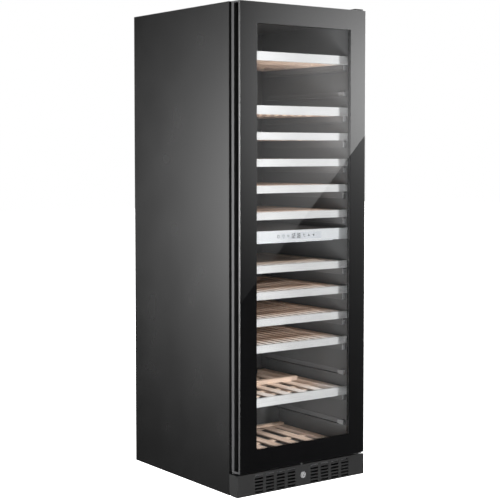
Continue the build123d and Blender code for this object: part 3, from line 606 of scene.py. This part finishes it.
def wood(name, along, depth=1.0, tip=0.0):
    """Planed beech with its grain along x or y, its tone times a depth that darkens it as painted shade,
    and tips that turn pale with painted light.
    """
    graph = Graph(name)
    growth = graph.noise(1.0, grain_stretch(GROWTH_SCALES, along), detail=5.0, distortion=0.8)
    fibre = graph.noise(1.0, grain_stretch(FIBRE_SCALES, along), detail=3.0)
    stops = [(place, tuple(part * depth for part in tone)) for place, tone in WOOD_TONES]
    mix = graph.add("ShaderNodeMix", data_type="RGBA", blend_type="MULTIPLY")
    mix.inputs["Factor"].default_value = FLECK_SHARE
    graph.link(graph.ramp(growth, stops), mix.inputs["A"])
    graph.link(graph.ramp(fibre, FLECK_TONES), mix.inputs["B"])
    tone = mix.outputs["Result"]
    # Painted light on the slats' front ends
    graph.colour(painted_tip_light(graph, tone, tip) if tip else tone)
    graph.link(graph.span(fibre, *WOOD_ROUGHNESS), graph.shader.inputs["Roughness"])
    graph.bump(fibre, FIBRE_BUMP, FIBRE_HEIGHT)
    return graph.material


def window_limits():
    """The two corners of the clear window inside the bars between the panes."""
    low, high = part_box("glass_spacers")
    edge = Vector((SPACER_WIDTH, 0, SPACER_WIDTH))
    return low + edge, high - edge


def window_coating(graph):
    """Share of the front pane's mirroring: all of it on the printed border, less in the window."""
    low, high = window_limits()
    x, _, z = graph.axes()
    inside = graph.maths("LESS_THAN", graph.maths("ABSOLUTE", x), high.x)
    inside = graph.maths("MULTIPLY", inside, graph.maths("GREATER_THAN", z, low.z))
    inside = graph.maths("MULTIPLY", inside, graph.maths("LESS_THAN", z, high.z))
    lost = graph.span(z, *COATING_LOSS, start=COATING_HEIGHTS[0], stop=COATING_HEIGHTS[1])
    return graph.maths("MULTIPLY_ADD", inside, graph.maths("MULTIPLY", lost, -1.0), 1.0)


def clear_glass(name, shine, tint, coated_window=False):
    """A thin pane: what is behind it shows, and its front mirrors a little."""
    graph = Graph(name)
    fresnel = graph.add("ShaderNodeFresnel")
    fresnel.inputs["IOR"].default_value = GLASS_IOR
    facing = graph.add("ShaderNodeNewGeometry").outputs["Backfacing"]
    front = graph.maths("MULTIPLY_ADD", facing, -shine, shine)
    share = graph.maths("MULTIPLY", fresnel.outputs["Fac"], front)
    if coated_window:
        share = graph.maths("MULTIPLY", share, window_coating(graph))
    share.node.use_clamp = True
    through = graph.add("ShaderNodeBsdfTransparent")
    smudge = graph.noise(SMUDGE_SCALE, detail=2.0)
    pale = tuple(min(1.0, part * SMUDGE_GAIN) for part in tint)
    graph.link(graph.ramp(smudge, list(zip(NOISE_RANGE, (tint, pale)))), through.inputs["Color"])
    mirror = graph.add("ShaderNodeBsdfGlossy")
    mirror.inputs["Roughness"].default_value = 0.0
    both = graph.add("ShaderNodeMixShader")
    graph.link(share, both.inputs["Fac"])
    graph.link(through.outputs[0], both.inputs[1])
    graph.link(mirror.outputs[0], both.inputs[2])
    graph.replace_shader(both)
    return graph.material


def fired_print(name, colour):
    """Ceramic print behind glass, dull but for the pane in front of it."""
    graph = Graph(name)
    cloud = graph.noise(PRINT_CLOUD_SCALE, detail=2.0)
    graph.colour(graph.ramp(cloud, shades(colour, PRINT_SPREAD)))
    graph.set({"Roughness": PRINT_ROUGHNESS, "Specular IOR Level": 0.0})
    return graph.material


def glowing(name, colour, strength):
    """An opal light cover."""
    graph = Graph(name)
    cells = graph.noise(COVER_CELL_SCALE, detail=2.0)
    graph.colour(graph.ramp(cells, shades(colour, COVER_SPREAD)))
    graph.set({
        "Roughness": COVER_ROUGHNESS,
        "Emission Color": (*colour, 1),
        "Emission Strength": strength,
    })
    return graph.material


def make_materials():
    """Every finish on the cooler by name."""
    finish = {}
    for make, table in ((coated, COATED), (brushed, BRUSHED), (wood, WOODS), (clear_glass, GLASSES)):
        for name, facts in table.items():
            finish[name] = make(name, **facts)
    finish["black_print"] = fired_print("black_print", PRINT_COLOUR)
    finish["light_diffuser"] = glowing("light_diffuser", COVER_COLOUR, COVER_GLOW)
    return finish


# Dressing the frame's nodes
def dress(name, *materials):
    """Gives a node its materials, in order of their index."""
    thing = nodes[name]
    thing.data.materials.clear()
    for made in materials:
        thing.data.materials.append(made)
    return thing


def islands(mesh):
    """The number of each vertex's connected solid."""
    parent = list(range(len(mesh.vertices)))

    def root(vertex):
        while parent[vertex] != vertex:
            parent[vertex] = parent[parent[vertex]]
            vertex = parent[vertex]
        return vertex

    for edge in mesh.edges:
        first, second = (root(vertex) for vertex in edge.vertices)
        parent[first] = second
    return [root(vertex) for vertex in range(len(parent))]


def index_solids(thing, chosen):
    """Sets material 1 on the solids whose sizes in x, y and z a test accepts."""
    mesh = thing.data
    group = islands(mesh)
    limits = {}
    for vertex, number in zip(mesh.vertices, group):
        low, high = limits.setdefault(number, ([math.inf] * 3, [-math.inf] * 3))
        for axis in range(3):
            low[axis] = min(low[axis], vertex.co[axis])
            high[axis] = max(high[axis], vertex.co[axis])
    picked = {
        number: chosen(*(top - base for base, top in zip(low, high)))
        for number, (low, high) in limits.items()
    }
    for polygon in mesh.polygons:
        polygon.material_index = 1 if picked[group[polygon.vertices[0]]] else 0


def index_faces(thing, chosen):
    """Sets material 1 on the faces that a test accepts."""
    for polygon in thing.data.polygons:
        polygon.material_index = 1 if chosen(polygon) else 0


def index_shaded_sides(thing):
    """Sets material 2, the wood darkened as painted shade, on the left and right faces of the slats,
    between the two stiles.
    """
    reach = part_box(thing.name)[1].x - STILE_WIDTH - STILE_MARGIN
    for polygon in thing.data.polygons:
        sideways = abs(polygon.normal.x) > SIDEWAYS and polygon.material_index == 0
        if sideways and abs(polygon.center.x) < reach:
            polygon.material_index = 2


def soften(thing, width):
    """Rounds the sharp edges of a node a little."""
    bevel = thing.modifiers.new("soft_edges", "BEVEL")
    bevel.width = width
    bevel.segments = 2
    bevel.limit_method = "ANGLE"
    bevel.angle_limit = math.radians(SHARP_ANGLE)
    bevel.use_clamp_overlap = True


def dress_racks(finish):
    """Wood on the slats and cross pieces of every rack, and wood darkened as painted shade on the slats'
    sides.
    """
    for name in [f"{shelf}_wood" for shelf in SHELVES] + ["floor_rack"]:
        slats = "beech_wide" if name == DISPLAY_RACK else "beech_y"
        rack = dress(name, finish[slats], finish["beech_x"], finish["beech_side"])
        index_solids(rack, lambda x, y, z: x > y)
        index_shaded_sides(rack)
        soften(rack, RACK_ROUNDING)


def dress_fronts(finish):
    """Bright steel on the shelf fronts, grey on their runner plates."""
    for shelf in SHELVES:
        front = dress(f"{shelf}_trim", finish["trim_steel"], finish["rail_steel"])
        index_solids(front, lambda x, y, z: y > x)


def dress_compressor(finish):
    """Black paint on the compressor, rubber on its grommets."""
    thing = dress("compressor", finish["compressor_paint"], finish["seal_rubber"])
    index_solids(thing, lambda x, y, z: max(x, y, z) < GROMMET_SIZE)


def dress_grip(finish):
    """Bare metal on the two lips of the grip and its caps, black inside the channel."""
    thing = dress("door_grip", finish["frame_plastic"], finish["grip_metal"])
    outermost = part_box("door_grip")[0].x + GRIP_SKIN
    index_faces(thing, lambda polygon: polygon.center.x < outermost)


def dress_frame(finish):
    """Black plastic on the door frame, grey where it faces the middle of the window."""
    thing = dress("door_frame", finish["frame_plastic"], finish["frame_lining"])
    low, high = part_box("door_frame")
    middle = (low + high) / 2

    def faces_window(polygon):
        inward = (middle - polygon.center) * polygon.normal
        return max(inward.x, inward.z) > INWARD_LEAST

    index_faces(thing, faces_window)


def on_pin(polygon):
    """Whether a face of a hinge lies on its pin."""
    x, y = polygon.center.x - HINGE_AXIS[0], polygon.center.y - HINGE_AXIS[1]
    return math.hypot(x, y) < PIN_REACH


def dress_hinges(finish):
    """Black steel on the hinge plates, bare steel on their pins."""
    for name in ("top_hinge", "bottom_hinge"):
        index_faces(dress(name, finish["hinge_steel"], finish["bolt_steel"]), on_pin)


def dress_all(finish):
    """Puts a finish on every node of the frame."""
    for made, names in NODE_FINISH.items():
        for name in names:
            dress(name, finish[made])
    dress_racks(finish)
    dress_fronts(finish)
    dress_compressor(finish)
    dress_grip(finish)
    dress_frame(finish)
    dress_hinges(finish)
    for name in GLASS_NODES:
        nodes[name].visible_shadow = False
    for name in ROUNDED_SHEETS:
        soften(nodes[name], SHEET_ROUNDING)


# Pieces that the frame doesn't hold
def mesh_piece(name, build, body, made):
    """A piece of one material whose mesh is filled by a function, riding on a body."""
    mesh = bpy.data.meshes.new(name)
    shape = bmesh.new()
    build(shape)
    bmesh.ops.recalc_face_normals(shape, faces=shape.faces)
    shape.to_mesh(mesh)
    shape.free()
    mesh.materials.append(made)
    piece = add_object(name, mesh)
    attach(piece, body)


def slab(shape, outline, near, far):
    """A closed plate with an (x, z) outline between two y values."""
    front = [shape.verts.new((x, near, z)) for x, z in outline]
    back = [shape.verts.new((x, far, z)) for x, z in outline]
    shape.faces.new(front)
    shape.faces.new(list(reversed(back)))
    for index in range(len(outline)):
        following = (index + 1) % len(outline)
        shape.faces.new((front[index], back[index], back[following], front[following]))


def frame_slab(shape, outer, inner, near, far):
    """A closed plate with a rectangular hole, both given by their (x, z) corners."""
    outer_near, inner_near, outer_far, inner_far = (
        [shape.verts.new((x, y, z)) for x, z in corners] for y in (near, far) for corners in (outer, inner)
    )
    for first, second in (
        (outer_near, inner_near),
        (inner_far, outer_far),
        (inner_near, inner_far),
        (outer_far, outer_near),
    ):
        for index in range(4):
            following = (index + 1) % 4
            shape.faces.new((first[index], first[following], second[following], second[index]))


def make_print(finish):
    """The black printed border inside the rear face of the front pane."""
    low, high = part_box("outer_glass")
    edge = Vector((PRINT_EDGE, 0, PRINT_EDGE))
    limits = ((low + edge, high - edge), window_limits())
    outer, inner = (rectangle(base.x, base.z, top.x, top.z) for base, top in limits)
    near = high.y - 2 * PRINT_DEPTH
    far = high.y - PRINT_DEPTH

    def build(shape):
        frame_slab(shape, outer, inner, near, far)

    mesh_piece("printed_border", build, "door", finish["black_print"])


def digit_bars(character):
    """The bars of a seven-segment digit as (low x, low z, high x, high z) about its middle."""
    half = DIGIT_WIDTH / 2
    tall = DIGIT_HEIGHT / 2
    bar = DIGIT_BAR
    places = {
        "a": (-half, tall - bar, half, tall),
        "b": (half - bar, bar / 2, half, tall),
        "c": (half - bar, -tall, half, -bar / 2),
        "d": (-half, -tall, half, -tall + bar),
        "e": (-half, -tall, -half + bar, -bar / 2),
        "f": (-half, bar / 2, -half + bar, tall),
        "g": (-half, -bar / 2, half, bar / 2),
    }
    return [places[segment] for segment in SEGMENTS[character]]


def digit_outlines(character, x, z):
    """Outlines of a digit's bars, slightly apart, with its middle at a place."""
    return [
        rectangle(
            x + low_x + DIGIT_INSET,
            z + low_z + DIGIT_INSET,
            x + high_x - DIGIT_INSET,
            z + high_z - DIGIT_INSET,
        )
        for low_x, low_z, high_x, high_z in digit_bars(character)
    ]


def arc_band(centre, radius, width, start, stop, steps=20):
    """Outline of a round band between two angles in degrees."""
    angles = [math.radians(start + (stop - start) * step / steps) for step in range(steps + 1)]

    def arc(reach):
        return [(centre[0] + reach * math.cos(a), centre[1] + reach * math.sin(a)) for a in angles]

    return arc(radius) + list(reversed(arc(radius - width)))


def power_sign(x, z):
    """An open ring with an upright stroke."""
    half = SIGN_LINE / 2
    top = z + SIGN_SIZE * 1.15
    return [arc_band((x, z), SIGN_SIZE, SIGN_LINE, 125, 415), rectangle(x - half, z, x + half, top)]


def lamp_sign(x, z):
    """A bulb over its foot."""
    bulb = (x, z + SIGN_SIZE * 0.25)
    bulb_radius = SIGN_SIZE * 0.75
    half = SIGN_SIZE * 0.4
    foot_top = z - SIGN_SIZE * 0.7
    return [
        arc_band(bulb, bulb_radius, SIGN_LINE, -60, 240),
        rectangle(x - half, z - SIGN_SIZE, x + half, foot_top),
    ]


def zone_sign(x, z):
    """Two level bars, one for each zone."""
    half = SIGN_SIZE * 0.8
    thickness = SIGN_SIZE * 0.3
    bases = (z - SIGN_SIZE * 0.55, z + SIGN_SIZE * 0.25)
    return [rectangle(x - half, base, x + half, base + thickness) for base in bases]


def degree_sign(x, z):
    """A small ring and a large open one, for degrees."""
    small = (x - SIGN_SIZE * 0.6, z + SIGN_SIZE * 0.7)
    small_radius = SIGN_SIZE * 0.35
    large = (x + SIGN_SIZE * 0.4, z)
    large_radius = SIGN_SIZE * 0.8
    return [
        arc_band(small, small_radius, SIGN_LINE * 0.7, 0, 350),
        arc_band(large, large_radius, SIGN_LINE, 50, 310),
    ]


def arrow_sign(x, z, way):
    """A triangle that points up or down."""
    half = SIGN_SIZE * 0.9
    base = z - way * SIGN_SIZE * 0.5
    tip = z + way * SIGN_SIZE * 0.8
    return [[(x - half, base), (x + half, base), (x, tip)]]


def print_signs(name, outlines, face, made):
    """A piece of flat signs that stand on the face of the touch panel."""
    def build(shape):
        for outline in outlines:
            slab(shape, outline, face - SIGN_DEPTH, face)

    mesh_piece(name, build, "cabinet", made)


def make_signs(finish):
    """Everything printed on the touch panel: two readings, and plain touch signs."""
    low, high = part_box("touch_panel")
    z = (low.z + high.z) / 2
    digits = []
    for text, place in READINGS:
        for index, character in enumerate(text):
            digits += digit_outlines(character, place + (index - 0.5) * DIGIT_PITCH, z)
    signs = power_sign(POWER_X, z) + lamp_sign(LAMP_X, z) + zone_sign(ZONE_X, z) + degree_sign(DEGREE_X, z)
    for x, way in ARROWS:
        signs += arrow_sign(x, z, way)
    print_signs("panel_digits", digits, low.y, finish["digit_dark"])
    print_signs("panel_icons", signs, low.y, finish["icon_grey"])


def screw_head(shape, place, upright):
    """A low round head with a socket, standing on z if upright and on +y otherwise."""
    rings = []
    for radius, rise in SCREW_RINGS:
        ring = []
        for step in range(SCREW_SIDES):
            angle = math.tau * step / SCREW_SIDES
            across, along = radius * math.cos(angle), radius * math.sin(angle)
            offset = (across, along, rise) if upright else (across, rise, along)
            ring.append(shape.verts.new(Vector(place) + Vector(offset)))
        rings.append(ring)
    for lower, upper in zip(rings, rings[1:]):
        for step in range(SCREW_SIDES):
            following = (step + 1) % SCREW_SIDES
            shape.faces.new((lower[step], lower[following], upper[following], upper[step]))
    shape.faces.new(rings[0])
    shape.faces.new(rings[-1])


def make_screws(finish):
    """The screws of the rear flanges, the machine cover and the top hinge."""
    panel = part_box("side_panel_right")[1]
    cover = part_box("machine_cover")[1]
    hinge_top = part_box("top_hinge")[1].z

    def build(shape):
        for side in (-1, 1):
            for z in REAR_SCREW_HEIGHTS:
                screw_head(shape, (side * (panel.x - REAR_SCREW_EDGE), panel.y, z), False)
            for z in COVER_SCREW_HEIGHTS:
                screw_head(shape, (side * (cover.x - COVER_SCREW_EDGE), cover.y, z), False)
        for x, y in TOP_SCREW_PLACES:
            screw_head(shape, (x, y, hinge_top), True)

    mesh_piece("case_screws", build, "cabinet", finish["screw_steel"])


# Softboxes that only reflections show
def make_card(name, corners, emission):
    """A glowing sheet whose strength is worked out by a function of its place."""
    card = add_sheet(name, corners)
    graph = Graph(name)
    glow = graph.add("ShaderNodeEmission")
    graph.link(emission(graph), glow.inputs["Strength"])
    graph.replace_shader(glow)
    card.data.materials.append(graph.material)
    card.visible_camera = False
    card.visible_diffuse = False
    card.visible_shadow = False
    card.visible_transmission = False


def hump(graph, value, middle, width):
    """A smooth hump of height 1 about a middle value."""
    offset = graph.maths("DIVIDE", graph.maths("SUBTRACT", value, middle), width)
    square = graph.maths("MULTIPLY", offset, offset)
    return graph.maths("POWER", math.e, graph.maths("MULTIPLY", square, -0.5))


def front_card(graph):
    """Brightness of the front softbox: a slanted edge, bright above it and fading below."""
    x, _, z = graph.axes()
    run = EDGE_RIGHT[0] - EDGE_LEFT[0]
    slope = (EDGE_RIGHT[1] - EDGE_LEFT[1]) / run
    edge = graph.maths("MULTIPLY_ADD", x, slope, EDGE_LEFT[1] - slope * EDGE_LEFT[0])
    above = graph.maths("GREATER_THAN", z, edge)
    along = graph.maths("SUBTRACT", x, EDGE_LEFT[0])
    level = graph.maths("MULTIPLY_ADD", along, LEVEL_GROWTH / run, LEVEL_LEFT)
    level = graph.maths("MINIMUM", graph.maths("MAXIMUM", level, LEVEL_LIMITS[0]), LEVEL_LIMITS[1])
    upper = graph.maths("MULTIPLY", level, hump(graph, z, GLOW_HEIGHT, GLOW_WIDTH))
    exponent = graph.maths("MULTIPLY_ADD", z, FADE_RATE, -FADE_RATE * FADE_HEIGHT)
    fade = graph.maths("MINIMUM", graph.maths("POWER", math.e, exponent), 1.0)
    squared = graph.maths("MULTIPLY", level, level)
    lower = graph.maths("MULTIPLY", graph.maths("MULTIPLY", squared, fade), FADE_SHARE)
    chosen = graph.maths("MULTIPLY", above, graph.maths("SUBTRACT", upper, lower))
    total = graph.maths("ADD", lower, chosen)
    return graph.maths("MULTIPLY_ADD", total, CARD_BRIGHT, CARD_LEAST)


def side_card(graph):
    """Brightness of either side softbox: a broad soft hump."""
    _, y, z = graph.axes()
    both = graph.maths("MULTIPLY", hump(graph, y, *SIDE_GLOW_Y), hump(graph, z, *SIDE_GLOW_Z))
    return graph.maths("MULTIPLY_ADD", both, SIDE_BRIGHT, SIDE_LEAST)


def make_lights():
    """Soft lamps for the surfaces, and cards for the reflections."""
    make_sun("key", KEY_TOWARDS, KEY_SOFTNESS, KEY_STRENGTH)
    make_area("front_upper", UPPER_PLACE, FRONT_SIZE, UPPER_POWER)
    make_area("front_lower", LOWER_PLACE, FRONT_SIZE, LOWER_POWER)
    make_area("left", LEFT_PLACE, LEFT_SIZE, LEFT_POWER)
    make_area("rim", RIM_PLACE, RIM_SIZE, RIM_POWER, glossy=True)
    corners = rectangle(CARD_X[0], CARD_Z[0], CARD_X[1], CARD_Z[1])
    make_card("front_card", [(x, CARD_Y, z) for x, z in corners], front_card)
    corners = rectangle(SIDE_Y[0], SIDE_Z[0], SIDE_Y[1], SIDE_Z[1])
    for name, x in (("left_card", -SIDE_REACH), ("right_card", SIDE_REACH)):
        make_card(name, [(x, y, z) for y, z in corners], side_card)


bpy.context.scene.view_settings.view_transform = "Standard"
make_camera()
make_world()
make_floor()
make_lights()
finish = make_materials()
dress_all(finish)
make_print(finish)
make_signs(finish)
make_screws(finish)
